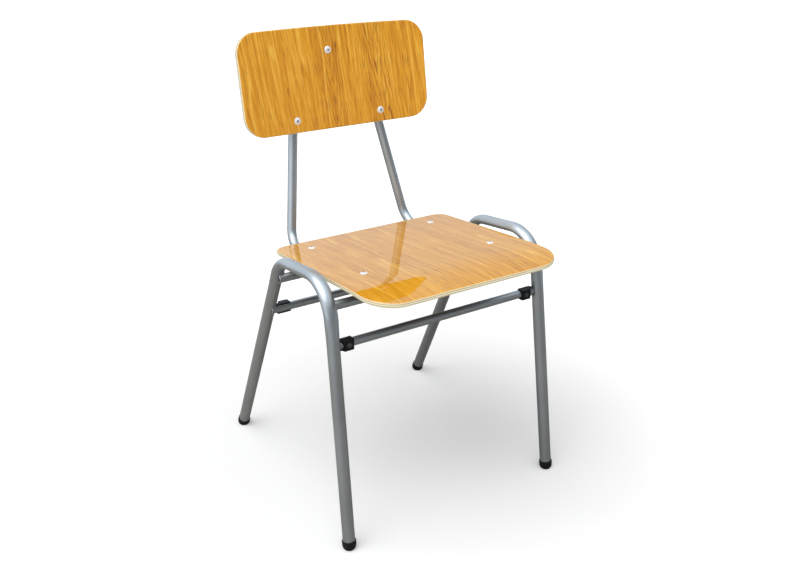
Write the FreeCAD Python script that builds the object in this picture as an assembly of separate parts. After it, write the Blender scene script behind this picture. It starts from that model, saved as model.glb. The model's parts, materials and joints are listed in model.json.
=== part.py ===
import FreeCAD, Part
import math
import os

# Stacking school chair: two bent side frames, four cross tubes, a hairpin back tube and two plywood panels.
# Millimetres, +Z up. The chair faces -Y and its middle plane is X = 0; left is the sitter's left, at +X.

# Side frames: one tube each, bent to an inverted U and pressed oval over the top
LEG_OD = 22.2
LEG_WALL = 1.5
FRAME_HALF_SPACING = 215.0
FRAME_HEIGHT = 460.0
FRAME_SPLAY = 1.3
FOOT_REACH = 237.0
FRONT_RAKE = 8.1
REAR_RAKE = 26.0
RUN_SLOPE = 7.9
FRONT_BEND_RADIUS = 66.0
REAR_BEND_RADIUS = 60.0
OVAL_WIDTH = 25.0
OVAL_HEIGHT = 18.6
OVAL_RUN_IN = 32.0

# Foot plugs: a ribbed stem in the tube's bore, a collar on its end and a domed foot
PLUG_OD = 25.2
PLUG_COLLAR = 9.5
PLUG_COLLAR_ROUND = 1.4
PLUG_HEIGHT = 17.5
PLUG_DOME_CENTRE = 9.0
PLUG_STEM = 24.0
PLUG_STEM_CLEARANCE = 0.15
PLUG_STEM_TAPER = 1.2
PLUG_RIB_COUNT = 3
PLUG_RIB_PITCH = 5.0
PLUG_RIB_DEPTH = 0.8

# Seat: hot-pressed plywood, flat and then curved down at the front, with laminate on both faces;
# its height is a drop from the side frames' own
SEAT_REFERENCE_Y = -20.0
SEAT_DROP = 1.4
SEAT_SLOPE = 5.9
SEAT_WIDTH = 383.0
SEAT_REAR = 121.0
SEAT_FRONT = 264.0
SEAT_REAR_CORNER = 26.0
SEAT_FRONT_CORNER = 57.0
SEAT_CORE = 7.2
WATERFALL_START = 167.0
WATERFALL_RADIUS = 490.0
LAMINATE = 0.8
BOARD_EDGE_ROUND = 2.5

# Cross tubes: two seat rails and two lower crossbars, coped to the legs and set in from their axes
RAIL_OD = 16.0
RAIL_WALL = 1.2
RAIL_SETBACK = 10.0
CROSSBAR_OD = 15.4
CROSSBAR_WALL = 1.2
CROSSBAR_SETBACK = 8.0
CROSSBAR_FRONT_DROP = 89.7
CROSSBAR_REAR_DROP = 119.7

# Back tube: one hairpin with a slight knee under the backrest, its two ends running forward under the seat
BACK_OD = 18.0
BACK_WALL = 1.2
BACK_LEAN = 13.0
BACK_KNEE = 2.8
BACK_KNEE_DROP = 32.0
BACK_KNEE_RADIUS = 120.0
BACK_BEND_RADIUS = 42.0
BACK_ARCH_RADIUS = 82.5
BACK_FOOT_Y = 143.0
BACK_FOOT_HALF_SPACING = 132.5
BACK_RUN_END_HALF_SPACING = 133.0
BACK_RUN_OVERHANG = 14.0
BACK_RIVET_RISE = 195.0
BACK_RIVET_HALF_SPACING = 91.3

# Backrest: a plywood panel, slightly hollow towards the sitter
PANEL_WIDTH = 399.0
PANEL_HEIGHT = 189.6
PANEL_BELOW_RIVETS = 22.0
PANEL_CORNER = 40.0
PANEL_TOP_CROWN = 2.0
PANEL_BOTTOM_CROWN = 0.8
PANEL_HOLLOW_RADIUS = 1690.0
PANEL_CORE = 9.0
PANEL_TOP_RIVET_RISE = 124.4
PANEL_TOP_RIVET_OFFSET = -11.4

# Stacking pads: moulded clips on the crossbars, with lips past the bar's axis and a hollow beside the leg
PAD_LENGTH = 27.0
PAD_HEIGHT = 19.5
PAD_DEPTH = 11.0
PAD_LIP = 4.0
PAD_CORNER = 4.0
PAD_EDGE_ROUND = 1.4
PAD_SCOOP_RADIUS = 7.5
PAD_LEG_CLEARANCE = 0.8
PAD_RIVET_INSET = 17.0

# Blind rivets: domed flange with the pin's hole, shank, and the head formed inside the tube
RIVET_SHANK = 4.8
RIVET_HOLE_CLEARANCE = 0.1
RIVET_FLANGE = 14.0
RIVET_DOME = 2.2
RIVET_PIN_HOLE = 3.0
RIVET_PIN_DEPTH = 1.0
RIVET_BULB = 6.6
RIVET_BULB_LENGTH = 3.0
SEAT_RIVET_REAR = 73.7
SEAT_RIVET_FRONT = 121.0
PAD_RIVET_FLANGE = 9.6

# Fits: what rests on a tube, and a welded end against the tube that it is coped to
REST_GAP = 0.25
WELD_GAP = 0.05
SAME_PLACE = 0.001

# How far cutters and untrimmed sheets run past what they cut
OVERRUN = 1.1
DRILL_REACH = 4

V = FreeCAD.Vector
X_AXIS = V(1, 0, 0)
Y_AXIS = V(0, 1, 0)
Z_AXIS = V(0, 0, 1)
LEFT, RIGHT = 1, -1
seat_thickness = SEAT_CORE + 2 * LAMINATE
panel_thickness = PANEL_CORE + 2 * LAMINATE
seat_height = FRAME_HEIGHT - SEAT_DROP
back_rivet_height = FRAME_HEIGHT + BACK_RIVET_RISE


def tan(degrees):
    return math.tan(math.radians(degrees))


def cos(degrees):
    return math.cos(math.radians(degrees))


def sin(degrees):
    return math.sin(math.radians(degrees))


def turned_about_x(degrees):
    return FreeCAD.Rotation(X_AXIS, degrees)


def placed(shape, placement):
    """A copy of the shape, moved by the placement."""
    moved = shape.copy()
    moved.Placement = placement.multiply(moved.Placement)
    return moved


def mirrored(shape):
    return shape.mirror(V(0, 0, 0), X_AXIS)


def bend(before, corner, after, radius):
    """Start, middle and end of the arc that rounds a corner, and the arc's centre."""
    to_before = (before - corner).normalize()
    to_after = (after - corner).normalize()
    half_angle = to_before.getAngle(to_after) / 2
    tangent = radius / math.tan(half_angle)
    inward = (to_before + to_after).normalize()
    centre = corner + inward * (radius / math.sin(half_angle))
    return corner + to_before * tangent, centre - inward * radius, corner + to_after * tangent, centre


def bent_path(corners, radii):
    """A wire of straight runs joined by tangent arcs."""
    edges = []
    start = corners[0]
    for before, corner, after, radius in zip(corners, corners[1:], corners[2:], radii):
        arc_start, arc_middle, arc_end, _ = bend(before, corner, after, radius)
        edges.append(Part.LineSegment(start, arc_start).toShape())
        edges.append(Part.Arc(arc_start, arc_middle, arc_end).toShape())
        start = arc_end
    edges.append(Part.LineSegment(start, corners[-1]).toShape())
    return Part.Wire(edges)


def swept_rod(path, diameter):
    """A round rod along a wire."""
    first = path.OrderedEdges[0]
    start = first.valueAt(first.FirstParameter)
    section = Part.Wire(Part.makeCircle(diameter / 2, start, first.tangentAt(first.FirstParameter)))
    return path.makePipeShell([section], True, False)


def rounded_plan(left, right, front, rear, front_corner, rear_corner, front_crown=0.0, rear_crown=0.0):
    """A rectangle in XY with rounded corners and slightly bowed front and rear edges."""
    def corner_arc(centre_x, centre_y, radius, first, last):
        arc = Part.Circle(V(centre_x, centre_y, 0), Z_AXIS, radius)
        return Part.ArcOfCircle(arc, math.radians(first), math.radians(last)).toShape()

    def cross_edge(start, end, bow):
        if bow == 0:
            return Part.LineSegment(start, end).toShape()
        return Part.Arc(start, (start + end) / 2 + V(0, bow, 0), end).toShape()

    f, r = front_corner, rear_corner
    return Part.Wire([
        corner_arc(right - r, rear - r, r, 0, 90),
        cross_edge(V(right - r, rear, 0), V(left + r, rear, 0), rear_crown),
        corner_arc(left + r, rear - r, r, 90, 180),
        Part.LineSegment(V(left, rear - r, 0), V(left, front + f, 0)).toShape(),
        corner_arc(left + f, front + f, f, 180, 270),
        cross_edge(V(left + f, front, 0), V(right - f, front, 0), -front_crown),
        corner_arc(right - f, front + f, f, 270, 360),
        Part.LineSegment(V(right, front + f, 0), V(right, rear - r, 0)).toShape(),
    ])


def trimmed_board(band, prism, through):
    """A pressed sheet trimmed to an outline, with both rims of its sawn edge rounded over."""
    board = band.common(prism)
    sawn = prism.Shells[0]
    rims = []
    for edge in board.Edges:
        middle = (edge.FirstParameter + edge.LastParameter) / 2
        on_outline = sawn.distToShape(Part.Vertex(edge.valueAt(middle)))[0] < SAME_PLACE
        if on_outline and abs(edge.tangentAt(middle).dot(through)) < 0.5:
            rims.append(edge)
    return board.makeFillet(BOARD_EDGE_ROUND, rims)


# Side frames, built in the YZ plane and then leaned inwards over their feet

def frame_corners():
    """Where the leg and run centre lines of a side frame meet, in its own plane."""
    run = tan(RUN_SLOPE)
    front_z = (FRAME_HEIGHT + FOOT_REACH * run) / (1 + tan(FRONT_RAKE) * run)
    rear_z = (FRAME_HEIGHT - FOOT_REACH * run) / (1 - tan(REAR_RAKE) * run)
    front = V(0, -FOOT_REACH + front_z * tan(FRONT_RAKE), front_z)
    rear = V(0, FOOT_REACH - rear_z * tan(REAR_RAKE), rear_z)
    return front, rear


def frame_section(width, height, point, direction):
    """A round or oval section square to a direction in the YZ plane, its width along X."""
    curve = Part.Circle(V(0, 0, 0), Z_AXIS, width / 2)
    if width != height:
        curve = Part.Ellipse(V(0, 0, 0), width / 2, height / 2)
    turn = math.degrees(math.atan2(-direction.y, direction.z))
    return placed(Part.Wire(curve.toShape()), FreeCAD.Placement(point, turned_about_x(turn)))


def frame_bar(shrink):
    """The side frame's tube as a solid bar, drawn in by a wall on every side for the bore."""
    front, rear = frame_corners()
    feet = V(0, -FOOT_REACH, 0), V(0, FOOT_REACH, 0)
    leg_width = LEG_OD - 2 * shrink
    width, height = OVAL_WIDTH - 2 * shrink, OVAL_HEIGHT - 2 * shrink
    front_arc = bend(feet[0], front, rear, FRONT_BEND_RADIUS)
    rear_arc = bend(feet[1], rear, front, REAR_BEND_RADIUS)
    pieces = []
    for foot, arc in zip(feet, (front_arc, rear_arc)):
        up = (arc[0] - foot).normalize()
        end = foot + up * PLUG_HEIGHT
        run_in = arc[0] - up * OVAL_RUN_IN
        pieces.append(Part.makeCylinder(leg_width / 2, (run_in - end).Length, end, up))
        round_end = frame_section(leg_width, leg_width, run_in, up)
        oval_end = frame_section(width, height, arc[0], up)
        pieces.append(Part.makeLoft([round_end, oval_end], True))
        across = (arc[0] - arc[3]).cross(arc[2] - arc[3])
        angle = math.degrees((arc[0] - arc[3]).getAngle(arc[2] - arc[3]))
        pieces.append(Part.Face(oval_end).revolve(arc[3], across, angle))
    along = (rear_arc[2] - front_arc[2])
    pieces.append(Part.Face(frame_section(width, height, front_arc[2], along)).extrude(along))
    return pieces[0].fuse(pieces[1:]).removeSplitter()


def frame_placement():
    floor_x = FRAME_HALF_SPACING + FRAME_HEIGHT * tan(FRAME_SPLAY)
    return FreeCAD.Placement(V(floor_x, 0, 0), FreeCAD.Rotation(Y_AXIS, -FRAME_SPLAY))


def leg_point(front, height):
    """The left front or rear leg's axis at a height above the floor."""
    along = height / cos(FRAME_SPLAY)
    y = -FOOT_REACH + along * tan(FRONT_RAKE) if front else FOOT_REACH - along * tan(REAR_RAKE)
    return frame_placement().multVec(V(0, y, along))


def leg_core():
    """Both side frames' outer forms, a weld gap larger, for coping what is welded to them."""
    left = placed(frame_bar(-WELD_GAP), frame_placement())
    return [left, mirrored(left)]


def foot_plug(front):
    """A foot plug, turned about its leg's axis and cut flat at the floor."""
    bore = LEG_OD / 2 - LEG_WALL
    collar = PLUG_OD / 2
    stem = bore - PLUG_STEM_CLEARANCE
    collar_foot = PLUG_HEIGHT - PLUG_COLLAR
    dome = math.hypot(collar, collar_foot - PLUG_DOME_CENTRE)
    dome_angle = math.atan2(collar_foot - PLUG_DOME_CENTRE, collar)
    half_way = (dome_angle - math.pi / 2) / 2
    shoulder = collar - PLUG_COLLAR_ROUND
    round_middle = PLUG_COLLAR_ROUND * math.sqrt(0.5)
    top = PLUG_HEIGHT + PLUG_STEM
    outline = [
        Part.LineSegment(V(0, 0, top), V(stem - PLUG_STEM_TAPER, 0, top)),
        Part.LineSegment(V(stem - PLUG_STEM_TAPER, 0, top), V(stem, 0, top - PLUG_STEM_TAPER)),
        Part.LineSegment(V(stem, 0, top - PLUG_STEM_TAPER), V(stem, 0, PLUG_HEIGHT)),
        Part.LineSegment(V(stem, 0, PLUG_HEIGHT), V(shoulder, 0, PLUG_HEIGHT)),
        Part.Arc(V(shoulder, 0, PLUG_HEIGHT),
                 V(shoulder + round_middle, 0, PLUG_HEIGHT - PLUG_COLLAR_ROUND + round_middle),
                 V(collar, 0, PLUG_HEIGHT - PLUG_COLLAR_ROUND)),
        Part.LineSegment(V(collar, 0, PLUG_HEIGHT - PLUG_COLLAR_ROUND), V(collar, 0, collar_foot)),
        Part.Arc(V(collar, 0, collar_foot),
                 V(dome * math.cos(half_way), 0, PLUG_DOME_CENTRE + dome * math.sin(half_way)),
                 V(0, 0, PLUG_DOME_CENTRE - dome)),
        Part.LineSegment(V(0, 0, PLUG_DOME_CENTRE - dome), V(0, 0, top)),
    ]
    body = Part.Face(Part.Wire([edge.toShape() for edge in outline])).revolve(V(0, 0, 0), Z_AXIS, 360)
    for rib in range(PLUG_RIB_COUNT):
        foot = V(0, 0, PLUG_HEIGHT + PLUG_RIB_PITCH * (rib + 1))
        groove = Part.makeCylinder(stem + PLUG_RIB_DEPTH, PLUG_RIB_PITCH / 2, foot)
        groove = groove.cut(Part.makeCylinder(stem - PLUG_RIB_DEPTH, PLUG_RIB_PITCH / 2, foot))
        body = body.cut(groove)
    turn = -FRONT_RAKE if front else REAR_RAKE
    foot_y = -FOOT_REACH if front else FOOT_REACH
    body = placed(body, FreeCAD.Placement(V(0, foot_y, 0), turned_about_x(turn)))
    body = placed(body, frame_placement())
    foot = leg_point(front, 0)
    below = Part.makeBox(2 * PLUG_OD, 2 * PLUG_OD, PLUG_OD, V(foot.x - PLUG_OD, foot.y - PLUG_OD, -PLUG_OD))
    return body.cut(below)


# Rivets: made with the flange's underside at Z = 0 and the shank pointing down

def rivet(flange, grip, bulb_start):
    """A set blind rivet; the grip is what it clamps, the bulb starts a little further in."""
    dome_radius = (flange ** 2 / 4 + RIVET_DOME ** 2) / (2 * RIVET_DOME)
    flange_body = Part.makeCylinder(flange / 2, RIVET_DOME)
    flange_body = flange_body.common(Part.makeSphere(dome_radius, V(0, 0, RIVET_DOME - dome_radius)))
    reach = grip + bulb_start
    shank = Part.makeCylinder(RIVET_SHANK / 2, reach, V(0, 0, -reach))
    bulb = Part.makeCylinder(RIVET_BULB / 2, RIVET_BULB_LENGTH, V(0, 0, -reach - RIVET_BULB_LENGTH))
    bulb = bulb.makeFillet(RIVET_BULB_LENGTH / 3, [edge for edge in bulb.Edges if edge.Closed])
    pin_hole = Part.makeCylinder(RIVET_PIN_HOLE / 2, RIVET_PIN_DEPTH, V(0, 0, RIVET_DOME - RIVET_PIN_DEPTH))
    return flange_body.fuse([shank, bulb]).cut(pin_hole).removeSplitter()


def rivet_hole(length):
    """A drill for a rivet's shank, reaching as far above the flange as below it."""
    return Part.makeCylinder(RIVET_SHANK / 2 + RIVET_HOLE_CLEARANCE, 2 * length, V(0, 0, -length))


def bulb_start_in(bore_radius):
    """How far under a round bore's crown a bulb has to start to clear the bore."""
    return bore_radius - math.sqrt(bore_radius ** 2 - RIVET_BULB ** 2 / 4) + REST_GAP


# Seat: its own plane has X across, Y rearwards and Z up from the flat top face

def seat_placement():
    return FreeCAD.Placement(V(0, SEAT_REFERENCE_Y, seat_height), turned_about_x(-SEAT_SLOPE))


def seat_band(top, bottom):
    """The pressed sheet between two depths under the top face, before it is trimmed."""
    centre = V(0, -WATERFALL_START, -WATERFALL_RADIUS)
    sweep = math.asin((SEAT_FRONT - WATERFALL_START) / (WATERFALL_RADIUS - seat_thickness)) * OVERRUN

    def front_point(depth, angle):
        radius = WATERFALL_RADIUS - depth
        return centre + V(0, -radius * math.sin(angle), radius * math.cos(angle))

    rear = SEAT_REAR + seat_thickness
    top_arc = [front_point(top, sweep * share) for share in (0, 0.5, 1)]
    bottom_arc = [front_point(bottom, sweep * share) for share in (1, 0.5, 0)]
    profile = Part.Wire([
        Part.LineSegment(V(0, rear, -top), top_arc[0]).toShape(),
        Part.Arc(*top_arc).toShape(),
        Part.LineSegment(top_arc[2], bottom_arc[0]).toShape(),
        Part.Arc(*bottom_arc).toShape(),
        Part.LineSegment(bottom_arc[2], V(0, rear, -bottom)).toShape(),
        Part.LineSegment(V(0, rear, -bottom), V(0, rear, -top)).toShape(),
    ])
    band = Part.Face(profile).extrude(V(SEAT_WIDTH, 0, 0))
    band.translate(V(-SEAT_WIDTH / 2, 0, 0))
    return band


def seat_board():
    """The whole seat in its own plane: trimmed, rounded along its edge and drilled."""
    half = SEAT_WIDTH / 2
    plan = rounded_plan(-half, half, -SEAT_FRONT, SEAT_REAR, SEAT_FRONT_CORNER, SEAT_REAR_CORNER)
    prism = Part.Face(plan).extrude(V(0, 0, WATERFALL_RADIUS))
    prism.translate(V(0, 0, -WATERFALL_RADIUS / 2))
    drills = [placed(rivet_hole(DRILL_REACH * seat_thickness), place) for place in seat_rivet_places()]
    return trimmed_board(seat_band(0, seat_thickness), prism, Z_AXIS).cut(drills)


def seat_layer(board, top, bottom):
    return placed(board.common(seat_band(top, bottom)), seat_placement())


def back_run_x(seat_y):
    """Half spacing of the back tube's forward runs at a place along the seat."""
    foot = seat_placement().inverse().multVec(back_foot(LEFT)).y
    end = back_run_end()
    share = (foot - seat_y) / (foot - end)
    return BACK_FOOT_HALF_SPACING + share * (BACK_RUN_END_HALF_SPACING - BACK_FOOT_HALF_SPACING)


def seat_rivet_places():
    """Seat rivets, in the seat's own plane, each over one of the back tube's runs."""
    return [FreeCAD.Placement(V(side * back_run_x(y), y, 0), FreeCAD.Rotation())
            for y in (SEAT_RIVET_REAR, -SEAT_RIVET_FRONT) for side in (LEFT, RIGHT)]


# Back tube: forward runs under the seat, uprights behind it and an arch behind the backrest

run_depth = seat_thickness + REST_GAP + BACK_OD / 2
rail_depth = run_depth + BACK_OD / 2 + WELD_GAP + RAIL_OD / 2


def back_foot(side):
    """Where a forward run and its upright meet, before the bend."""
    along = (BACK_FOOT_Y - SEAT_REFERENCE_Y + run_depth * sin(SEAT_SLOPE)) / cos(SEAT_SLOPE)
    point = seat_placement().multVec(V(0, along, -run_depth))
    return V(side * BACK_FOOT_HALF_SPACING, point.y, point.z)


def back_placement():
    """The uprights' plane: X across, Y rearwards, Z up along the lean, from the lower rivets' height."""
    foot = back_foot(LEFT)
    y = foot.y + (back_rivet_height - foot.z) * tan(BACK_LEAN)
    return FreeCAD.Placement(V(0, y, back_rivet_height), turned_about_x(-BACK_LEAN))


def arch_placement():
    """The arch's plane above the knee, from the lower rivets' level up."""
    knee = FreeCAD.Placement(V(0, 0, -BACK_KNEE_DROP), turned_about_x(BACK_KNEE))
    up_to_rivets = FreeCAD.Placement(V(0, 0, BACK_KNEE_DROP), FreeCAD.Rotation())
    return back_placement().multiply(knee).multiply(up_to_rivets)


def rail_point(front):
    """A seat rail's axis on the left: set back from its leg's axis, and under the back tube's runs."""
    setback = V(0, RAIL_SETBACK if front else -RAIL_SETBACK, 0)
    low = leg_point(front, 0) + setback
    high = leg_point(front, seat_height) + setback
    low_depth, high_depth = (-seat_placement().inverse().multVec(point).z for point in (low, high))
    return low + (high - low) * ((low_depth - rail_depth) / (low_depth - high_depth))


def back_run_end():
    """The forward runs' front ends, along the seat's own plane."""
    return seat_placement().inverse().multVec(rail_point(True)).y - BACK_RUN_OVERHANG


def back_path():
    foot = back_placement().inverse().multVec(back_foot(LEFT))
    taper = (foot.x - BACK_RIVET_HALF_SPACING) / -foot.z
    apex = arch_placement().multVec(V(0, 0, BACK_RIVET_HALF_SPACING / taper))
    knee = back_placement().multVec(V(BACK_RIVET_HALF_SPACING + taper * BACK_KNEE_DROP, 0, -BACK_KNEE_DROP))
    end = seat_placement().multVec(V(BACK_RUN_END_HALF_SPACING, back_run_end(), -run_depth))
    left = [end, back_foot(LEFT), knee]
    right = [V(-point.x, point.y, point.z) for point in reversed(left)]
    bends = [BACK_BEND_RADIUS, BACK_KNEE_RADIUS]
    return bent_path(left + [apex] + right, bends + [BACK_ARCH_RADIUS] + bends[::-1])


def back_support():
    path = back_path()
    tube = swept_rod(path, BACK_OD).cut(swept_rod(path, BACK_OD - 2 * BACK_WALL))
    seat_drill = rivet_hole(seat_thickness + REST_GAP + BACK_OD / 2)
    for place in seat_rivet_places():
        tube = tube.cut(placed(seat_drill, seat_placement().multiply(place)))
    panel_drill = rivet_hole(panel_thickness + REST_GAP + BACK_OD / 2)
    for place in panel_rivet_places():
        tube = tube.cut(placed(panel_drill, panel_placement().multiply(place)))
    return tube


# Backrest: its own frame has X across, Y rearwards from the front face and Z up, from the lower rivets

def hollow_depth(radius, x):
    return radius - math.sqrt(radius ** 2 - x ** 2)


def panel_placement():
    """The panel, tipped until its back rests on the tube at the lower and the upper rivets."""
    back_radius = PANEL_HOLLOW_RADIUS + panel_thickness
    low = hollow_depth(back_radius, BACK_RIVET_HALF_SPACING)
    high = hollow_depth(back_radius, PANEL_TOP_RIVET_OFFSET)
    tip = math.degrees(math.asin((low - high) / PANEL_TOP_RIVET_RISE))
    stand_off = BACK_OD / 2 + REST_GAP - low
    lean = FreeCAD.Placement(V(0, -stand_off, 0), turned_about_x(tip))
    face = FreeCAD.Placement(V(0, -panel_thickness, 0), FreeCAD.Rotation())
    return arch_placement().multiply(lean).multiply(face)


def panel_rivet_places():
    """Backrest rivets on the panel's front face, square to its curve, shanks pointing rearwards."""
    spots = [(LEFT * BACK_RIVET_HALF_SPACING, 0), (RIGHT * BACK_RIVET_HALF_SPACING, 0),
             (PANEL_TOP_RIVET_OFFSET, PANEL_TOP_RIVET_RISE)]
    places = []
    for x, z in spots:
        y = -hollow_depth(PANEL_HOLLOW_RADIUS, x)
        swing = FreeCAD.Rotation(Z_AXIS, -math.degrees(math.asin(x / PANEL_HOLLOW_RADIUS)))
        places.append(FreeCAD.Placement(V(x, y, z), swing.multiply(turned_about_x(90))))
    return places


def panel_band(front, back):
    """The hollow sheet between two depths behind the front face, before it is trimmed."""
    axis = V(0, -PANEL_HOLLOW_RADIUS, 0)
    reach = OVERRUN * math.asin(PANEL_WIDTH / 2 / PANEL_HOLLOW_RADIUS)

    def on_arc(depth, angle):
        radius = PANEL_HOLLOW_RADIUS + depth
        return axis + V(radius * math.sin(angle), radius * math.cos(angle), 0)

    profile = Part.Wire([
        Part.Arc(on_arc(front, -reach), on_arc(front, 0), on_arc(front, reach)).toShape(),
        Part.LineSegment(on_arc(front, reach), on_arc(back, reach)).toShape(),
        Part.Arc(on_arc(back, reach), on_arc(back, 0), on_arc(back, -reach)).toShape(),
        Part.LineSegment(on_arc(back, -reach), on_arc(front, -reach)).toShape(),
    ])
    band = Part.Face(profile).extrude(V(0, 0, 2 * PANEL_HEIGHT))
    band.translate(V(0, 0, -PANEL_HEIGHT / 2))
    return band


def panel_board():
    """The whole backrest in its own frame: trimmed, rounded along its edge and drilled."""
    half = PANEL_WIDTH / 2
    outline = rounded_plan(-half, half, -PANEL_BELOW_RIVETS, PANEL_HEIGHT - PANEL_BELOW_RIVETS,
                           PANEL_CORNER, PANEL_CORNER, PANEL_BOTTOM_CROWN, PANEL_TOP_CROWN)
    prism = Part.Face(outline).extrude(V(0, 0, 2 * half))
    prism.translate(V(0, 0, -half))
    prism = placed(prism, FreeCAD.Placement(V(0, 0, 0), turned_about_x(90)))
    drills = [placed(rivet_hole(DRILL_REACH * panel_thickness), place) for place in panel_rivet_places()]
    return trimmed_board(panel_band(0, panel_thickness), prism, Y_AXIS).cut(drills)


def panel_layer(board, front, back):
    return placed(board.common(panel_band(front, back)), panel_placement())


# Cross tubes

def cross_tube(point, diameter, wall):
    """A tube along X through a point, as far as both side frames' axes, with its ends coped to the legs."""
    start = V(-point.x, point.y, point.z)
    tube = Part.makeCylinder(diameter / 2, 2 * point.x, start, X_AXIS)
    tube = tube.cut(Part.makeCylinder(diameter / 2 - wall, 2 * point.x, start, X_AXIS))
    return tube.cut(leg_core())


def seat_rail(front):
    return cross_tube(rail_point(front), RAIL_OD, RAIL_WALL)


def crossbar_point(front):
    """A crossbar's axis at the left leg, set in towards the chair's middle from the leg's axis."""
    if front:
        return leg_point(True, FRAME_HEIGHT - CROSSBAR_FRONT_DROP) + V(0, CROSSBAR_SETBACK, 0)
    return leg_point(False, FRAME_HEIGHT - CROSSBAR_REAR_DROP) - V(0, CROSSBAR_SETBACK, 0)


def crossbar(front):
    bar = cross_tube(crossbar_point(front), CROSSBAR_OD, CROSSBAR_WALL)
    hole = placed(rivet_hole(PAD_DEPTH), pad_placement(front).multiply(pad_rivet_place()))
    return bar.cut([hole, mirrored(hole)])


# Stacking pads: X inboard from the outer end, Z outwards from the bar's axis, alike above and below

def pad_placement(front):
    """The right-hand pad's own frame on the front bar's front or the rear bar's back."""
    point = crossbar_point(front)
    outer_end = point.x - LEG_OD / 2 / cos(FRAME_SPLAY) - PAD_LEG_CLEARANCE
    return FreeCAD.Placement(V(-outer_end, point.y, point.z), turned_about_x(90 if front else -90))


def pad_rivet_place():
    return FreeCAD.Placement(V(PAD_RIVET_INSET, 0, PAD_DEPTH), FreeCAD.Rotation())


def stack_pad(front):
    """The right-hand pad: a clip round the bar with a quarter-round scoop beside the leg."""
    scoop = PAD_SCOOP_RADIUS
    scoop_middle = scoop * math.sqrt(0.5)
    round_middle = PAD_CORNER * (1 - math.sqrt(0.5))
    outline = [
        Part.LineSegment(V(0, 0, -PAD_LIP), V(PAD_LENGTH, 0, -PAD_LIP)),
        Part.LineSegment(V(PAD_LENGTH, 0, -PAD_LIP), V(PAD_LENGTH, 0, PAD_DEPTH - PAD_CORNER)),
        Part.Arc(V(PAD_LENGTH, 0, PAD_DEPTH - PAD_CORNER),
                 V(PAD_LENGTH - round_middle, 0, PAD_DEPTH - round_middle),
                 V(PAD_LENGTH - PAD_CORNER, 0, PAD_DEPTH)),
        Part.LineSegment(V(PAD_LENGTH - PAD_CORNER, 0, PAD_DEPTH), V(scoop, 0, PAD_DEPTH)),
        Part.Arc(V(scoop, 0, PAD_DEPTH),
                 V(scoop_middle, 0, PAD_DEPTH - scoop_middle),
                 V(0, 0, PAD_DEPTH - scoop)),
        Part.LineSegment(V(0, 0, PAD_DEPTH - scoop), V(0, 0, -PAD_LIP)),
    ]
    body = Part.Face(Part.Wire([edge.toShape() for edge in outline])).extrude(V(0, PAD_HEIGHT, 0))
    body.translate(V(0, -PAD_HEIGHT / 2, 0))
    rim = [edge for edge in body.Edges
           if edge.BoundBox.YLength < PAD_EDGE_ROUND and edge.BoundBox.ZMax > PAD_DEPTH - scoop / 2]
    body = body.makeFillet(PAD_EDGE_ROUND, rim)
    saddle = Part.makeCylinder(CROSSBAR_OD / 2 + REST_GAP, PAD_LENGTH, V(0, 0, 0), X_AXIS)
    body = body.cut([saddle, placed(rivet_hole(PAD_DEPTH), pad_rivet_place())])
    return placed(body, pad_placement(front))


def build_nodes():
    """Every piece of the chair by its name."""
    frame_left = placed(frame_bar(0).cut(frame_bar(LEG_WALL)), frame_placement())
    nodes = {"side_frame_left": frame_left, "side_frame_right": mirrored(frame_left)}
    for end, front in (("front", True), ("rear", False)):
        nodes["seat_rail_" + end] = seat_rail(front)
        nodes["crossbar_" + end] = crossbar(front)
        plug = foot_plug(front)
        nodes["foot_plug_" + end + "_left"] = plug
        nodes["foot_plug_" + end + "_right"] = mirrored(plug)
        pad = stack_pad(front)
        nodes["stack_pad_" + end + "_left"] = mirrored(pad)
        nodes["stack_pad_" + end + "_right"] = pad
    nodes["back_support"] = back_support()
    seat = seat_board()
    nodes["seat_laminate"] = seat_layer(seat, 0, LAMINATE)
    nodes["seat_core"] = seat_layer(seat, LAMINATE, LAMINATE + SEAT_CORE)
    nodes["seat_backing"] = seat_layer(seat, LAMINATE + SEAT_CORE, seat_thickness)
    panel = panel_board()
    nodes["backrest_laminate"] = panel_layer(panel, 0, LAMINATE)
    nodes["backrest_core"] = panel_layer(panel, LAMINATE, LAMINATE + PANEL_CORE)
    nodes["backrest_backing"] = panel_layer(panel, LAMINATE + PANEL_CORE, panel_thickness)
    inside_tube = bulb_start_in(BACK_OD / 2 - BACK_WALL)
    seat_rivet = rivet(RIVET_FLANGE, seat_thickness + REST_GAP + BACK_WALL, inside_tube)
    nodes["seat_rivets"] = Part.makeCompound(
        [placed(seat_rivet, seat_placement().multiply(place)) for place in seat_rivet_places()])
    panel_rivet = rivet(RIVET_FLANGE, panel_thickness + REST_GAP + BACK_WALL, inside_tube)
    nodes["backrest_rivets"] = Part.makeCompound(
        [placed(panel_rivet, panel_placement().multiply(place)) for place in panel_rivet_places()])
    pad_grip = PAD_DEPTH - CROSSBAR_OD / 2 + CROSSBAR_WALL
    pad_rivet = rivet(PAD_RIVET_FLANGE, pad_grip, bulb_start_in(CROSSBAR_OD / 2 - CROSSBAR_WALL))
    right_rivets = [placed(pad_rivet, pad_placement(front).multiply(pad_rivet_place()))
                    for front in (True, False)]
    nodes["pad_rivets"] = Part.makeCompound(right_rivets + [mirrored(one) for one in right_rivets])
    return nodes


# The origin is on the floor at the middle of the chair's box, so every piece moves by the same step in Y
os.makedirs("parts", exist_ok=True)
chair = build_nodes()
box = Part.makeCompound(list(chair.values())).optimalBoundingBox(False)
to_origin = V(0, -(box.YMin + box.YMax) / 2, 0)
for name, shape in chair.items():
    shape.translate(to_origin)
    shape.exportStep("parts/" + name + ".step")
    print(name, "solids", len(shape.Solids), "valid", shape.isValid(), "volume", round(shape.Volume))
print("size", [round(length, 1) for length in (box.XLength, box.YLength, box.ZLength)])
print("moved in y", round(to_origin.y, 2))
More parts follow.
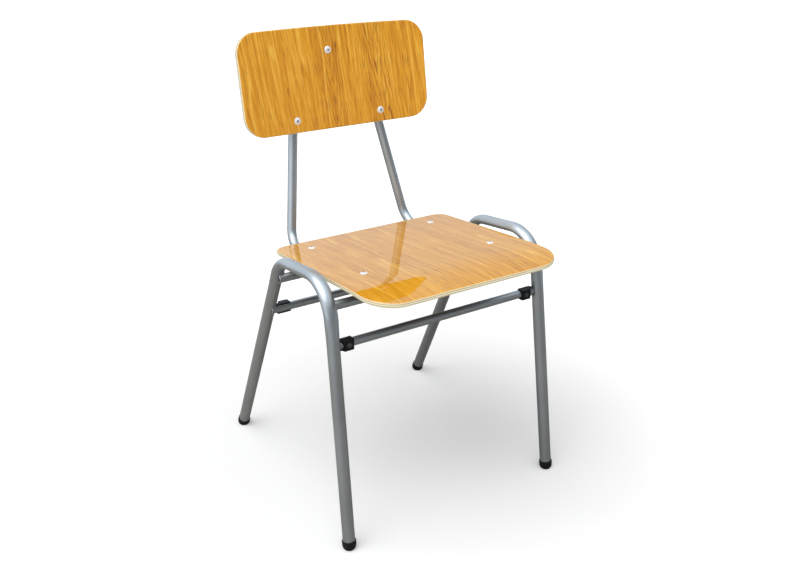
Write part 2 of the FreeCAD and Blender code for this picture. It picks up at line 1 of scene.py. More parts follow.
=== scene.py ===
import bmesh
import bpy
import json
import math
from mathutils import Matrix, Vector


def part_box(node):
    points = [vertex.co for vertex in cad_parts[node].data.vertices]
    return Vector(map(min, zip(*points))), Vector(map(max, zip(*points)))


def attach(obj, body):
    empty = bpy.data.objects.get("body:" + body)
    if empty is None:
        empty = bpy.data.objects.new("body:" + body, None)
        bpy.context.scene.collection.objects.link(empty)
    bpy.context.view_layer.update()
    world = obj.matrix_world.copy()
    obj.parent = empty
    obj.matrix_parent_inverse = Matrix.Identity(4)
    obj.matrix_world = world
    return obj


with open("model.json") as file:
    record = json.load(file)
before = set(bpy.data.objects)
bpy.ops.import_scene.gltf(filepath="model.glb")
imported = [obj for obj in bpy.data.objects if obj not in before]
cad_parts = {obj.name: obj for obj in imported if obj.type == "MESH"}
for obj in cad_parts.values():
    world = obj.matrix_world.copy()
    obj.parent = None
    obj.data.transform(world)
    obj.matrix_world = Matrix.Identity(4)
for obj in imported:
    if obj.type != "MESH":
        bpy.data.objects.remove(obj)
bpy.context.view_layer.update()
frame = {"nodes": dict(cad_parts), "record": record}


# Side frames: steel tube, bent cold to an inverted U and pressed oval over the top.
# They are sprayed with a silver-grey lacquer that has fine metal flake in it and dries with a faint
# orange-peel skin.
LACQUER = (190, 194, 196)
LACQUER_WORN = (176, 179, 180)
LACQUER_METALLIC = 0.95
LACQUER_ROUGHNESS = 0.33
LACQUER_FLAKE_ROUGHNESS = 0.16
LACQUER_FLAKES_PER_M = 2600.0
LACQUER_PEEL_PER_M = 420.0
LACQUER_PEEL_HEIGHT = 0.00002
LACQUER_CLOUDS_PER_M = 9.0
LACQUER_CLOUD_SHARE = 0.7
LACQUER_TONE_LIMITS = (0.3, 0.7)
nodes = frame["nodes"]


def linear(colour):
    """A colour written as screen values from 0 to 255, as the shader's linear colour."""
    shares = [value / 255 for value in colour]
    return [s / 12.92 if s < 0.04045 else ((s + 0.055) / 1.055) ** 2.4 for s in shares] + [1.0]


class Wire:
    """A socket in a node tree. Sums, products and powers of it add Math nodes."""

    def __init__(self, tree, socket):
        self.tree = tree
        self.socket = socket

    def make(self, kind, settings=None, inputs=None, output=0):
        """Adds a node: its settings first, then its sockets' values or links. Gives one output."""
        node = self.tree.nodes.new(kind)
        for name, setting in (settings or {}).items():
            if name == "stops":
                ramp = node.color_ramp.elements
                while len(ramp) < len(setting):
                    ramp.new(0.5)
                for stop, (place, colour) in zip(ramp, setting):
                    stop.position = place
                    stop.color = colour
            else:
                setattr(node, name, setting)
        for name, value in (inputs or {}).items():
            if isinstance(value, Wire):
                self.tree.links.new(value.socket, node.inputs[name])
            else:
                node.inputs[name].default_value = value
        return Wire(self.tree, node.outputs[output]) if node.outputs else None

    def maths(self, operation, *others):
        """A Math node with this as its first value."""
        return self.make("ShaderNodeMath", {"operation": operation}, dict(enumerate((self, *others))))

    def __add__(self, other):
        return self.maths("ADD", other)

    def __sub__(self, other):
        return self.maths("SUBTRACT", other)

    def __rsub__(self, other):
        return self.make("ShaderNodeMath", {"operation": "SUBTRACT"}, {0: other, 1: self})

    def __mul__(self, other):
        return self.maths("MULTIPLY", other)

    def __truediv__(self, other):
        return self.maths("DIVIDE", other)

    def __pow__(self, power):
        return self.maths("POWER", power)

    __radd__ = __add__
    __rmul__ = __mul__

    def towards(self, other, share):
        """This value where the share is 0, the other where it is 1."""
        return self + (other - self) * share

    def step(self, low, high):
        """0 below low, 1 above high, eased between."""
        return self.make("ShaderNodeMapRange", {"interpolation_type": "SMOOTHSTEP"},
                         {"Value": self, "From Min": low, "From Max": high})

    def mix(self, first, second):
        """The first colour where this is 0, the second where it is 1."""
        return self.make("ShaderNodeMix", {"data_type": "RGBA"}, {0: self, 6: first, 7: second}, 2)

    def split(self):
        return [self.make("ShaderNodeSeparateXYZ", inputs={0: self}, output=axis) for axis in range(3)]

    def noise(self, per_m, detail):
        """Noise over this vector, with features per metre along each axis, or one number for all three."""
        scale = [per_m] * 3 if isinstance(per_m, float) else per_m
        stretched = self.make("ShaderNodeMapping", inputs={"Vector": self, "Scale": scale})
        return self.make("ShaderNodeTexNoise", inputs={"Vector": stretched, "Scale": 1.0, "Detail": detail})

    def bump(self, height_m):
        return self.make("ShaderNodeBump", inputs={"Height": self, "Distance": height_m, "Strength": 1.0})


def new_finish(name):
    """An empty material and the object's own coordinates in metres."""
    material = bpy.data.materials.new(name)
    material.use_nodes = True
    tree = material.node_tree
    tree.nodes.clear()
    coordinates = tree.nodes.new("ShaderNodeTexCoord").outputs["Object"]
    return material, Wire(tree, coordinates)


def close_finish(material, wire, inputs):
    shader = wire.make("ShaderNodeBsdfPrincipled", inputs=inputs)
    wire.make("ShaderNodeOutputMaterial", inputs={"Surface": shader})
    return material


def silver_lacquer():
    material, place = new_finish("silver_lacquer")
    flake = place.noise(LACQUER_FLAKES_PER_M, detail=1.0)
    peel = place.noise(LACQUER_PEEL_PER_M, detail=1.0)
    cloud = place.noise(LACQUER_CLOUDS_PER_M, detail=3.0)
    tone = cloud * LACQUER_CLOUD_SHARE + flake * (1.0 - LACQUER_CLOUD_SHARE)
    return close_finish(material, place, {
        "Base Color": tone.step(*LACQUER_TONE_LIMITS).mix(linear(LACQUER_WORN), linear(LACQUER)),
        "Metallic": LACQUER_METALLIC,
        "Roughness": LACQUER_ROUGHNESS + LACQUER_FLAKE_ROUGHNESS * flake,
        "Normal": peel.bump(LACQUER_PEEL_HEIGHT),
    })


def dress(names, material):
    """Gives CAD nodes a finish."""
    for name in names:
        mesh = nodes[name].data
        mesh.materials.clear()
        mesh.materials.append(material)


lacquer = silver_lacquer()
dress(["side_frame_left", "side_frame_right"], lacquer)


# Seat rails and crossbars: straight steel tubes between the side frames, coped to the legs.
# They are welded all round and sprayed with the frames.
CROSS_TUBES = ["seat_rail_front", "seat_rail_rear", "crossbar_front", "crossbar_rear"]
dress(CROSS_TUBES, lacquer)


# Weld beads: a rippled fillet of steel round each coped tube end, under the lacquer.
# Every bead follows the edge of the cope.
BEAD_RADIUS = 0.0016
BEAD_RIPPLE = 0.00035
BEAD_RIPPLES_PER_M = 560.0
BEAD_POINTS = 96
BEAD_SIDES = 10
COPE_DEPTH = 0.018
RIM_SHARE = 0.995
RIM_ANGLE_DIGITS = 3
NOISE_MIDDLE = 0.5


def cope_edges():
    """A closed loop of points for each cross tube's end, read from the tube's own outer rim."""
    loops = []
    for name in CROSS_TUBES:
        low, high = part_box(name)
        middle = (low + high) / 2
        radius = (high.z - low.z) / 2
        for side in (-1, 1):
            rim = {}
            for vertex in nodes[name].data.vertices:
                y, z = vertex.co.y - middle.y, vertex.co.z - middle.z
                angle = round(math.atan2(z, y), RIM_ANGLE_DIGITS)
                outside = math.hypot(y, z) > radius * RIM_SHARE
                at_end = vertex.co.x * side > high.x - COPE_DEPTH
                if outside and at_end and vertex.co.x * side >= rim.get(angle, vertex.co).x * side:
                    rim[angle] = vertex.co.copy()
            loops.append([rim[angle] for angle in sorted(rim)])
    return loops


def new_grower(name, sizes):
    """An empty Geometry Nodes tree, and a wire for each input: a mesh, the named sizes and a material."""
    tree = bpy.data.node_groups.new(name, "GeometryNodeTree")
    kinds = {"Geometry": "NodeSocketGeometry"}
    kinds.update(dict.fromkeys(sizes, "NodeSocketFloat"))
    kinds["Material"] = "NodeSocketMaterial"
    for socket, kind in kinds.items():
        tree.interface.new_socket(socket, in_out="INPUT", socket_type=kind)
    tree.interface.new_socket("Geometry", in_out="OUTPUT", socket_type="NodeSocketGeometry")
    start = tree.nodes.new("NodeGroupInput")
    return tree, {socket: Wire(tree, start.outputs[socket]) for socket in kinds}


def close_grower(given, geometry):
    """Makes instances real, gives the material and sends the geometry out."""
    real = geometry.make("GeometryNodeRealizeInstances", inputs={"Geometry": geometry})
    dressed = real.make("GeometryNodeSetMaterial", inputs={"Geometry": real, "Material": given["Material"]})
    dressed.make("NodeGroupOutput", inputs={"Geometry": dressed})


def bead_tree():
    """A tube along each closed line, swollen and pinched by noise."""
    tree, given = new_grower("weld_bead", ["Bead Radius", "Ripple", "Ripples Per Metre"])
    edge = given["Geometry"]
    line = edge.make("GeometryNodeMeshToCurve", inputs={"Mesh": edge})
    line = edge.make("GeometryNodeResampleCurve", inputs={"Curve": line, "Count": BEAD_POINTS})
    ring = edge.make("GeometryNodeCurvePrimitiveCircle",
                     inputs={"Resolution": BEAD_SIDES, "Radius": given["Bead Radius"]})
    tube = edge.make("GeometryNodeCurveToMesh", inputs={"Curve": line, "Profile Curve": ring})
    where = edge.make("GeometryNodeInputPosition")
    rough = edge.make("ShaderNodeTexNoise",
                      inputs={"Vector": where, "Scale": given["Ripples Per Metre"], "Detail": 1.0})
    swell = (rough - NOISE_MIDDLE) * 2.0 * given["Ripple"]
    out = edge.make("ShaderNodeVectorMath", {"operation": "SCALE"},
                    {0: edge.make("GeometryNodeInputNormal"), "Scale": swell})
    tube = edge.make("GeometryNodeSetPosition", inputs={"Geometry": tube, "Offset": out})
    tube = edge.make("GeometryNodeSetShadeSmooth", inputs={"Geometry": tube})
    close_grower(given, tube)
    return tree


def grown(name, mesh, tree, inputs):
    """A plain mesh made by a node tree from a starting mesh."""
    seed = bpy.data.objects.new(name + "_seed", mesh)
    bpy.context.scene.collection.objects.link(seed)
    modifier = seed.modifiers.new("grow", "NODES")
    modifier.node_group = tree
    for item in tree.interface.items_tree:
        if item.in_out == "INPUT" and item.name in inputs:
            modifier[item.identifier] = inputs[item.name]
    settled = seed.evaluated_get(bpy.context.evaluated_depsgraph_get())
    result = bpy.data.meshes.new_from_object(settled)
    bpy.data.objects.remove(seed)
    piece = bpy.data.objects.new(name, result)
    bpy.context.scene.collection.objects.link(piece)
    return piece


bead_lines = bpy.data.meshes.new("bead_lines")
bead_points, bead_edges = [], []
for loop in cope_edges():
    first = len(bead_points)
    bead_points += loop
    bead_edges += [(first + i, first + (i + 1) % len(loop)) for i in range(len(loop))]
bead_lines.from_pydata(bead_points, bead_edges, [])
beads = grown("weld_beads", bead_lines, bead_tree(), {
    "Bead Radius": BEAD_RADIUS, "Ripple": BEAD_RIPPLE, "Ripples Per Metre": BEAD_RIPPLES_PER_M,
    "Material": lacquer})
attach(beads, "root")


# Back tube: one hairpin of steel tube, with its ends running forward under the seat across both rails.
# It has the frames' lacquer.
dress(["back_support"], lacquer)


# Feet and stacking pads: injection-moulded black plastic with a fine spark-eroded skin.
# The feet are knocked into the legs, the pads are clipped and riveted to the crossbars.
PLASTIC = (6, 6, 7)
PLASTIC_RUBBED = (15, 15, 16)
PLASTIC_ROUGHNESS = 0.52
PLASTIC_SKIN_ROUGHNESS = 0.16
PLASTIC_SPECULAR = 0.35
PLASTIC_SKIN_PER_M = 1900.0
PLASTIC_SKIN_HEIGHT = 0.00003
PLASTIC_RUBS_PER_M = 60.0
PLASTIC_RUB_LIMITS = (0.5, 0.8)
ENDS = [end + "_" + side for end in ("front", "rear") for side in ("left", "right")]


def black_plastic():
    material, place = new_finish("black_plastic")
    skin = place.noise(PLASTIC_SKIN_PER_M, detail=2.0)
    rubbed = place.noise(PLASTIC_RUBS_PER_M, detail=4.0).step(*PLASTIC_RUB_LIMITS)
    return close_finish(material, place, {
        "Base Color": rubbed.mix(linear(PLASTIC), linear(PLASTIC_RUBBED)),
        "Roughness": PLASTIC_ROUGHNESS + PLASTIC_SKIN_ROUGHNESS * skin,
        "Specular IOR Level": PLASTIC_SPECULAR,
        "Normal": skin.bump(PLASTIC_SKIN_HEIGHT),
    })


dress([kind + "_" + end for kind in ("foot_plug", "stack_pad") for end in ENDS], black_plastic())


# Seat: plywood with a printed wood facing, pressed flat with its front edge curved down.
# The facing is under a thick, mirror-smooth clear lacquer, and a brown sheet backs the plywood; its dark
# brown is painted shade under the seat.
# The sawn edge shows the plies; four rivets hold the seat to the back tube's runs.
WOOD_DARK = (190, 121, 18)
WOOD = (216, 151, 30)
WOOD_LIGHT = (240, 186, 72)
WOOD_PORE = (142, 84, 20)
WOOD_STOPS = (0.22, 0.48, 0.80)
WOOD_TONE = 0.52
WOOD_WANDERS_PER_M = (10.0, 2.4, 1.0)
WOOD_WANDER = 0.022
WOOD_FIBRES_PER_M = (380.0, 14.0, 1.0)
WOOD_STREAKS_PER_M = (150.0, 3.4, 1.0)
WOOD_STREAK_SHARE = 0.5
WOOD_BANDS_PER_M = (20.0, 1.6, 1.0)
WOOD_BAND_SHARE = 0.5
WOOD_RINGS_PER_M = 46.0
WOOD_RING_WANDER = 4.0
WOOD_RING_SHARE = 0.08
PALE_RISE = (0.02, 0.05)
PALE_FALL = (0.08, 0.13)
PALE_STREAKS = (0.40, 0.55)
PALE_STRENGTH = 0.8
PORES_PER_M = (640.0, 30.0, 1.0)
PORE_LIMITS = (0.53, 0.66)
PORE_LATE_WOOD = (0.35, 0.85)
PORE_EARLY_SHARE = 0.35
HEART_JAGS_PER_M = (240.0, 36.0, 1.0)
HEART_JAG = 0.030
HEART_SLOPE = 0.16
HEART_LINE_RISE = (0.55, 0.90)
HEART_LINE_FALL = (0.92, 1.0)
HEART_LINE_STRENGTH = 0.55
HEART_PORE_STRENGTH = 0.6
HEART_CORE_SHARE = 0.4
WOOD_ROUGHNESS = 0.05
WOOD_FIBRE_ROUGHNESS = 0.04
COAT_ROUGHNESS = 0.02
COAT_IOR = 1.58


def wood_facing(name, along_axis, seed, slant, contrast, figure, hearts):
    """Printed flat-sawn oak: streaks along the grain, short dark pores, pale lines and pointed figures.

    Each heart is a figure's middle across the grain, its lines per metre and its half-width.
    """
    material, place = new_finish(name)
    axes = place.split()
    along = axes[along_axis]
    straight = axes[0] + along * slant
    flat = place.make("ShaderNodeCombineXYZ", inputs={0: straight, 1: along, 2: seed})
    across = straight + (flat.noise(WOOD_WANDERS_PER_M, detail=2.0) - NOISE_MIDDLE) * WOOD_WANDER
    flat = place.make("ShaderNodeCombineXYZ", inputs={0: across, 1: along, 2: seed})
    fibre = flat.noise(WOOD_FIBRES_PER_M, detail=3.0)
    streak = flat.noise(WOOD_STREAKS_PER_M, detail=3.0)
    band = flat.noise(WOOD_BANDS_PER_M, detail=2.0)
    ring = (across * WOOD_RINGS_PER_M + band * WOOD_RING_WANDER).maths("FRACT")
    grain = (fibre - NOISE_MIDDLE) + (streak - NOISE_MIDDLE) * WOOD_STREAK_SHARE
    grain = grain + (band - NOISE_MIDDLE) * WOOD_BAND_SHARE - ring * WOOD_RING_SHARE
    tones = [linear(WOOD_DARK), linear(WOOD), linear(WOOD_LIGHT)]
    colour = place.make("ShaderNodeValToRGB", {"stops": list(zip(WOOD_STOPS, tones))},
                        {"Fac": WOOD_TONE + grain * contrast})
    pale = ring.step(*PALE_RISE) * (1.0 - ring.step(*PALE_FALL)) * streak.step(*PALE_STREAKS)
    colour = (pale * PALE_STRENGTH).mix(colour, linear(WOOD_LIGHT))
    pores = flat.noise(PORES_PER_M, detail=2.0).step(*PORE_LIMITS)
    late = PORE_EARLY_SHARE + (1.0 - PORE_EARLY_SHARE) * ring.step(*PORE_LATE_WOOD)
    dark = pores * late * figure
    jag = along + (flat.noise(HEART_JAGS_PER_M, detail=2.0) - NOISE_MIDDLE) * HEART_JAG
    for heart_across, heart_pitch, heart_reach in hearts:
        aside = (across - heart_across).maths("ABSOLUTE")
        line = (aside * heart_pitch - jag * heart_pitch * HEART_SLOPE).maths("FRACT")
        line = line.step(*HEART_LINE_RISE) * (1.0 - line.step(*HEART_LINE_FALL))
        near = 1.0 - aside.step(heart_reach * HEART_CORE_SHARE, heart_reach)
        dark = dark + near * figure * (line * HEART_LINE_STRENGTH + pores * HEART_PORE_STRENGTH)
    return close_finish(material, place, {
        "Base Color": dark.maths("MINIMUM", 1.0).mix(colour, linear(WOOD_PORE)),
        "Roughness": WOOD_ROUGHNESS + WOOD_FIBRE_ROUGHNESS * fibre,
        "Specular IOR Level": 0.0,
        "Coat Weight": 1.0,
        "Coat Roughness": COAT_ROUGHNESS,
        "Coat IOR": COAT_IOR,
    })


PLY = (232, 225, 194)
PLY_CROSS = (178, 156, 112)
PLY_COUNT = 5
PLY_TURN_LIMITS = (0.46, 0.54)
PLY_CROSS_STRENGTH = 0.8
PLY_FIBRE_BASE = 0.6
PLY_FIBRE_SHARE = 0.6
PLY_FIBRES_PER_M = (380.0, 380.0, 900.0)
PLY_FIBRE_HEIGHT = 0.00006
PLY_ROUGHNESS = 0.42
PLY_FIBRE_ROUGHNESS = 0.2
GLUE_LIMITS = (0.40, 0.48)
GLUE_STRENGTH = 0.5


def ply_edge(name, depth_share):
    """Sawn and sanded plies, every other one cut across its fibre; takes the share of depth at a place."""
    material, place = new_finish(name)
    layer = depth_share(place) * PLY_COUNT
    odd = (layer * 0.5).maths("FRACT").step(*PLY_TURN_LIMITS)
    glue = (layer.maths("FRACT") - 0.5).maths("ABSOLUTE").step(*GLUE_LIMITS) * GLUE_STRENGTH
    fibre = place.noise(PLY_FIBRES_PER_M, detail=3.0)
    crossed = odd * PLY_CROSS_STRENGTH * (PLY_FIBRE_BASE + PLY_FIBRE_SHARE * fibre)
    colour = crossed.mix(linear(PLY), linear(PLY_CROSS))
    return close_finish(material, place, {
        "Base Color": glue.mix(colour, linear(PLY_CROSS)),
        "Roughness": PLY_ROUGHNESS + PLY_FIBRE_ROUGHNESS * fibre,
        "Normal": fibre.bump(PLY_FIBRE_HEIGHT),
    })


# Painted shade: the backing's dark browns stand in for the shade under the seat, also where the crossbars
# mirror it.
BACKING_PAINTED_SHADE = (92, 64, 38)
BACKING_WORN_PAINTED_SHADE = (74, 50, 30)
BACKING_FIBRES_PER_M = 240.0
BACKING_FIBRE_SHARE = 0.6
BACKING_FIBRE_HEIGHT = 0.00002
BACKING_CLOUDS_PER_M = 9.0
BACKING_TONE_LIMITS = (0.35, 0.65)
BACKING_ROUGHNESS = 0.40
BACKING_FIBRE_ROUGHNESS = 0.2


def backing_painted_shade():
    """The plain brown sheet that balances the facing, with paper fibre in it; its dark brown is painted
    shade under the seat.
    """
    material, place = new_finish("backing_painted_shade")
    fibre = place.noise(BACKING_FIBRES_PER_M, detail=4.0)
    cloud = place.noise(BACKING_CLOUDS_PER_M, detail=3.0)
    tone = fibre * BACKING_FIBRE_SHARE + cloud * (1.0 - BACKING_FIBRE_SHARE)
    return close_finish(material, place, {
        "Base Color": tone.step(*BACKING_TONE_LIMITS).mix(linear(BACKING_WORN_PAINTED_SHADE), linear(BACKING_PAINTED_SHADE)),
        "Roughness": BACKING_ROUGHNESS + BACKING_FIBRE_ROUGHNESS * fibre,
        "Normal": fibre.bump(BACKING_FIBRE_HEIGHT),
    })


SEAT_THICKNESS = 0.0088
WATERFALL_START = 0.167
WATERFALL_RADIUS = 0.490
seat_top = next(mount for mount in frame["record"]["mounts"] if mount["name"] == "seat_top")
seat_middle = Vector(seat_top["pos_m"])
seat_up = Vector(seat_top["axis"])


def seat_depth(place):
    """Share of the seat's thickness below its top face, round the curved front too."""
    y, z = place.split()[1:]
    back = (y - seat_middle.y) * seat_up.z - (z - seat_middle.z) * seat_up.y
    up = (y - seat_middle.y) * seat_up.y + (z - seat_middle.z) * seat_up.z
    ahead = (back + WATERFALL_START).maths("MINIMUM", 0.0)
    reach = (ahead * ahead + (up + WATERFALL_RADIUS) ** 2.0) ** 0.5
    return (WATERFALL_RADIUS - reach) / SEAT_THICKNESS


dress(["seat_backing"], backing_painted_shade())
dress(["seat_laminate"], wood_facing(
    "seat_facing", along_axis=1, seed=3.0, slant=0.02, contrast=0.8, figure=0.34,
    hearts=[(-0.05, 130.0, 0.030), (0.10, 140.0, 0.028)]))
dress(["seat_core"], ply_edge("seat_plies", seat_depth))


# Backrest: the same faced plywood, pressed slightly hollow, with the grain upright and both sides faced.
# It is riveted to the back tube at three points.
BACK_LEAN = math.radians(9.09)
BACK_HOLLOW_RADIUS = 1.690
BACK_THICKNESS = 0.0106
back_low, back_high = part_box("backrest_core")
back_middle = (back_low + back_high) / 2


def back_depth(place):
    """Share of the backrest's thickness behind its hollow front face."""
    x, y, z = place.split()
    behind = (y - back_middle.y) * math.cos(BACK_LEAN) - (z - back_middle.z) * math.sin(BACK_LEAN)
    reach = (x * x + (behind + BACK_HOLLOW_RADIUS) ** 2.0) ** 0.5
    return (reach - BACK_HOLLOW_RADIUS) / BACK_THICKNESS + 0.5


dress(["backrest_laminate", "backrest_backing"], wood_facing(
    "backrest_facing", along_axis=2, seed=11.0, slant=0.08, contrast=0.95, figure=0.66,
    hearts=[(0.150, 130.0, 0.034), (0.050, 150.0, 0.028)]))
dress(["backrest_core"], ply_edge("backrest_plies", back_depth))


# Rivets: aluminium blind rivets with a domed flange, set from the sitter's side in seat and backrest.
# Those in the stacking pads are blackened and rubbed paler in spots.
RIVET = (240, 241, 243)
RIVET_DULL = (216, 218, 222)
RIVET_BLACK = (40, 40, 42)
RIVET_BLACK_RUBBED = (84, 84, 86)
RIVET_METALLIC = 0.3
RIVET_ROUGHNESS = 0.34
RIVET_DULL_ROUGHNESS = 0.16
RIVET_SPOTS_PER_M = 700.0
RIVET_SPOT_LIMITS = (0.35, 0.75)


def rivet_metal(name, bright, dulled):
    material, place = new_finish(name)
    dull = place.noise(RIVET_SPOTS_PER_M, detail=3.0).step(*RIVET_SPOT_LIMITS)
    return close_finish(material, place, {
        "Base Color": dull.mix(linear(bright), linear(dulled)),
        "Metallic": RIVET_METALLIC,
        "Roughness": RIVET_ROUGHNESS + RIVET_DULL_ROUGHNESS * dull,
    })


dress(["seat_rivets", "backrest_rivets"], rivet_metal("rivet_metal", RIVET, RIVET_DULL))
dress(["pad_rivets"], rivet_metal("rivet_black", RIVET_BLACK, RIVET_BLACK_RUBBED))


# Rivet pins: the broken end of the steel pin that each blind rivet was pulled with.
# It stays in the flange as a small dark dot, a low cone on the rivet's crown; its dark colour is partly the
# steel and partly painted shade of the rivet's hole.
PIN_RADIUS = 0.0021
PIN_TOP_SHARE = 0.55
PIN_HEIGHT = 0.0006
PIN_SUNK = 0.0002
PIN_SIDES = 14
PIN_SEGMENTS = 2
# Painted shade: these dark colours are partly the pin's steel and partly the shade in the rivet's hole,
# which the cone covers.
PIN_STEEL_AND_HOLE_SHADE = (92, 100, 116)
PIN_STEEL_DARK_AND_HOLE_SHADE = (58, 62, 70)
PIN_METALLIC = 0.8
PIN_ROUGHNESS = 0.35
PIN_TORN_ROUGHNESS = 0.25
PIN_TEARS_PER_M = 1500.0
PIN_TEAR_LIMITS = (0.35, 0.65)
SAME_POINT = 1e-6
CROWN_DEPTH = 0.0001
back_up = Vector((0.0, -math.cos(BACK_LEAN), math.sin(BACK_LEAN)))


def pin_steel_and_hole_shade():
    material, place = new_finish("pin_steel_and_hole_shade")
    torn = place.noise(PIN_TEARS_PER_M, detail=2.0).step(*PIN_TEAR_LIMITS)
    return close_finish(material, place, {
        "Base Color": torn.mix(linear(PIN_STEEL_AND_HOLE_SHADE), linear(PIN_STEEL_DARK_AND_HOLE_SHADE)),
        "Metallic": PIN_METALLIC,
        "Roughness": PIN_ROUGHNESS + PIN_TORN_ROUGHNESS * torn,
    })


def crowns(name, outward):
    """The top of every rivet of a node, and the way it faces; outward gives that from a rivet's middle."""
    islands = bmesh.new()
    islands.from_mesh(nodes[name].data)
    bmesh.ops.remove_doubles(islands, verts=islands.verts, dist=SAME_POINT)
    found, waiting = [], dict.fromkeys(islands.verts)
    while waiting:
        group, reached = [], [waiting.popitem()[0]]
        while reached:
            vertex = reached.pop()
            group.append(vertex.co.copy())
            for edge in vertex.link_edges:
                other = edge.other_vert(vertex)
                if other in waiting:
                    del waiting[other]
                    reached.append(other)
        up = outward(sum(group, Vector()) / len(group))
        highest = max(point.dot(up) for point in group)
        rim = [point for point in group if point.dot(up) > highest - CROWN_DEPTH]
        found.append((sum(rim, Vector()) / len(rim), up))
    islands.free()
    return found


def pin_tree():
    """A low cone on each point, turned to the point's facing."""
    tree, given = new_grower("rivet_pin", ["Pin Radius", "Pin Height"])
    spots = given["Geometry"]
    facing = spots.make("GeometryNodeInputNamedAttribute", {"data_type": "FLOAT_VECTOR"},
                        {"Name": "facing"})
    turn = spots.make("FunctionNodeAlignEulerToVector", {"axis": "Z"}, {"Vector": facing})
    radius = given["Pin Radius"]
    cone = spots.make("GeometryNodeMeshCone", inputs={
        "Vertices": PIN_SIDES, "Side Segments": PIN_SEGMENTS, "Radius Top": radius * PIN_TOP_SHARE,
        "Radius Bottom": radius, "Depth": given["Pin Height"]})
    close_grower(given, spots.make("GeometryNodeInstanceOnPoints", inputs={
        "Points": spots, "Instance": cone, "Rotation": turn}))
    return tree


pin_spots = crowns("seat_rivets", lambda middle: seat_up)
pin_spots += crowns("backrest_rivets", lambda middle: back_up)
pin_spots += crowns("pad_rivets", lambda middle: Vector((0.0, math.copysign(1.0, middle.y), 0.0)))
pin_seed = bpy.data.meshes.new("pin_spots")
pin_seed.from_pydata([spot - up * PIN_SUNK for spot, up in pin_spots], [], [])
facings = pin_seed.attributes.new("facing", "FLOAT_VECTOR", "POINT")
for item, (_, up) in zip(facings.data, pin_spots):
    item.vector = up
pins = grown("rivet_pins", pin_seed, pin_tree(), {
    "Pin Radius": PIN_RADIUS, "Pin Height": PIN_HEIGHT, "Material": pin_steel_and_hole_shade()})
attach(pins, "root")


# Floor and studio: a white sweep under a wide soft light, with a soft box at the left and a fill from the
# front. Mirrored, the sweep behind is white, the near floor dim and the far floor at the right bright.
# The room in front is lighter at the left, where its window is, and dims upwards to the overhead light.
FLOOR_HALF = 9.0
FLOOR_WHITE = 0.74
FLOOR_MIRRORED = (0.215, 0.205, 0.19, 1.0)
FLOOR_MIRRORED_LEFT = (0.33, 0.315, 0.285, 1.0)
FLOOR_LEFT_BACK = (-0.6, 0.0)
FLOOR_LEFT_EDGE = (-0.35, 0.0)
FLOOR_MIRRORED_FAR = (0.76, 0.86, 0.97, 1.0)
FLOOR_FAR = (1.9, 3.2)
FLOOR_FAR_FRONT = (0.68, 0.84)
FLOOR_FAR_RIGHT = (-3.0, 1.2)
FLOOR_LIFT = 0.18
SWEEP_LIFT = 0.50
SWEEP_REACH = (0.3, 1.3)
WHITE = (1.0, 1.0, 1.0, 1.0)


def ray_kinds(wire):
    """1 for a ray straight from the camera, and 1 for one that is mirrored or passes through glass."""
    camera, glossy, through = [wire.make("ShaderNodeLightPath", output=name)
                               for name in ("Is Camera Ray", "Is Glossy Ray", "Is Transmission Ray")]
    return camera, glossy.maths("MAXIMUM", through)


def white_floor():
    material, place = new_finish("white_floor")
    camera, mirrored = ray_kinds(place)
    x, y = place.split()[:2]
    away = place.make("ShaderNodeVectorMath", {"operation": "LENGTH"}, {0: place}, "Value")
    left = y.step(*FLOOR_LEFT_BACK) * (1.0 - x.step(*FLOOR_LEFT_EDGE))
    in_front = (0.0 - y / away).step(*FLOOR_FAR_FRONT)
    far = away.step(*FLOOR_FAR) * (1.0 - in_front) * x.step(*FLOOR_FAR_RIGHT)
    dim = far.mix(left.mix(FLOOR_MIRRORED, FLOOR_MIRRORED_LEFT), FLOOR_MIRRORED_FAR)
    colour = mirrored.mix((FLOOR_WHITE, FLOOR_WHITE, FLOOR_WHITE, 1.0), dim)
    matt = place.make("ShaderNodeBsdfDiffuse", inputs={"Color": colour})
    lift = camera * (FLOOR_LIFT + (SWEEP_LIFT - FLOOR_LIFT) * away.step(*SWEEP_REACH))
    glow = place.make("ShaderNodeEmission", inputs={"Color": WHITE, "Strength": lift})
    both = place.make("ShaderNodeAddShader", inputs={0: matt, 1: glow})
    place.make("ShaderNodeOutputMaterial", inputs={"Surface": both})
    return material


floor_mesh = bpy.data.meshes.new("floor")
corners = [(x * FLOOR_HALF, y * FLOOR_HALF, 0.0) for x, y in ((-1, -1), (1, -1), (1, 1), (-1, 1))]
floor_mesh.from_pydata(corners, [], [(0, 1, 2, 3)])
floor_mesh.materials.append(white_floor())
floor = bpy.data.objects.new("floor", floor_mesh)
bpy.context.scene.collection.objects.link(floor)

FILL_FRONT = 0.94
FILL_BACK = 0.12
FILL_AHEAD = (-0.5, 0.4)
MIRRORED_SKY = (228, 242, 255)
ROOM_LEFT = 0.70
ROOM_RIGHT = 0.40
ROOM_SIDES = (-0.5, 0.4)
WINDOW_LIGHT = 1.9
WINDOW_SIDE = -0.84
WINDOW_AHEAD = -0.54
WINDOW_EDGES = (0.78, 0.96)
ROOM_DIM = 0.11
ROOM_DIM_UP = (0.05, 0.40)
OVERHEAD = 1.6
OVERHEAD_UP = (0.46, 0.80)
BACKDROP_LIGHT = 1.14
BACKDROP_AHEAD = (-0.15, 0.35)
BACKDROP_FADE = 0.30
BACKDROP_FADE_SIDES = (0.30, 0.75)
world = bpy.data.worlds.new("studio")
bpy.context.scene.world = world
world.use_nodes = True
world.node_tree.nodes.clear()
sky = Wire(world.node_tree, world.node_tree.nodes.new("ShaderNodeTexCoord").outputs["Generated"])
camera_ray, mirrored_ray = ray_kinds(sky)
across_sky, ahead_sky, up_sky = sky.split()
window = (across_sky * WINDOW_SIDE + ahead_sky * WINDOW_AHEAD).step(*WINDOW_EDGES)
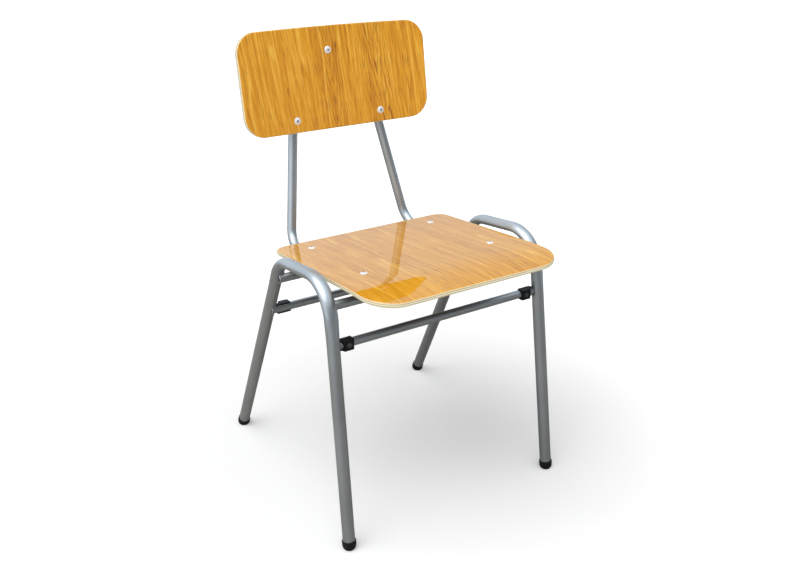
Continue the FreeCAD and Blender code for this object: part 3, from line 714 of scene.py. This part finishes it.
room = ROOM_LEFT + (ROOM_RIGHT - ROOM_LEFT) * across_sky.step(*ROOM_SIDES)
room = room.towards(WINDOW_LIGHT, window)
room = room.towards(ROOM_DIM, up_sky.step(*ROOM_DIM_UP))
room = room.towards(OVERHEAD, up_sky.step(*OVERHEAD_UP))
backdrop = BACKDROP_LIGHT - BACKDROP_FADE * across_sky.step(*BACKDROP_FADE_SIDES)
sweep = room.towards(backdrop, ahead_sky.step(*BACKDROP_AHEAD))
fill = FILL_FRONT + (FILL_BACK - FILL_FRONT) * ahead_sky.step(*FILL_AHEAD)
level = camera_ray + (1.0 - camera_ray) * (mirrored_ray * sweep + (1.0 - mirrored_ray) * fill)
sky_colour = mirrored_ray.mix(WHITE, linear(MIRRORED_SKY))
sky_shader = sky.make("ShaderNodeBackground", inputs={"Color": sky_colour, "Strength": level})
sky.make("ShaderNodeOutputWorld", inputs={"Surface": sky_shader})

TOP_TURN = (math.radians(3.0), math.radians(-25.0), 0.0)
TOP_SPREAD = math.radians(58.0)
TOP_STRENGTH = 2.05
top = bpy.data.lights.new("top", "SUN")
top.energy = TOP_STRENGTH
top.angle = TOP_SPREAD
top_holder = bpy.data.objects.new("top", top)
top_holder.rotation_euler = TOP_TURN
bpy.context.scene.collection.objects.link(top_holder)

BOX_PLACE = Vector((-2.6, -0.2, 1.4))
BOX_TARGET = Vector((0.0, 0.0, 0.45))
BOX_SIZE = 3.6
BOX_WATTS = 17.0
BOX_COLOUR = (0.86, 0.93, 1.0)
box = bpy.data.lights.new("soft_box", "AREA")
box.shape = "SQUARE"
box.size = BOX_SIZE
box.energy = BOX_WATTS
box.color = BOX_COLOUR
box_holder = bpy.data.objects.new("soft_box", box)
box_holder.location = BOX_PLACE
box_holder.rotation_euler = (BOX_TARGET - BOX_PLACE).to_track_quat("-Z", "Y").to_euler()
bpy.context.scene.collection.objects.link(box_holder)


# Camera: stands before the sitter's right knee, above the seat, and looks down at the photograph's angle.
# Its place, direction and focal length come from the perspective fit that gave the chair's proportions.
CAMERA_PLACE = (-0.7985, -1.2897, 1.0524)
CAMERA_AZIMUTH = math.radians(-31.90)
CAMERA_ELEVATION = math.radians(24.24)
SENSOR_WIDTH = 36.0
PICTURE_WIDTH_PX = 790
FOCAL_LENGTH_PX = 873.0

camera = bpy.data.objects.new("camera", bpy.data.cameras.new("camera"))
camera.data.sensor_width = SENSOR_WIDTH
camera.data.lens = FOCAL_LENGTH_PX / PICTURE_WIDTH_PX * SENSOR_WIDTH
looking = Vector((-math.sin(CAMERA_AZIMUTH) * math.cos(CAMERA_ELEVATION),
                  math.cos(CAMERA_AZIMUTH) * math.cos(CAMERA_ELEVATION),
                  -math.sin(CAMERA_ELEVATION)))
camera.location = CAMERA_PLACE
camera.rotation_euler = looking.to_track_quat("-Z", "Y").to_euler()
bpy.context.scene.collection.objects.link(camera)
bpy.context.scene.camera = camera
bpy.context.scene.view_settings.view_transform = "Standard"
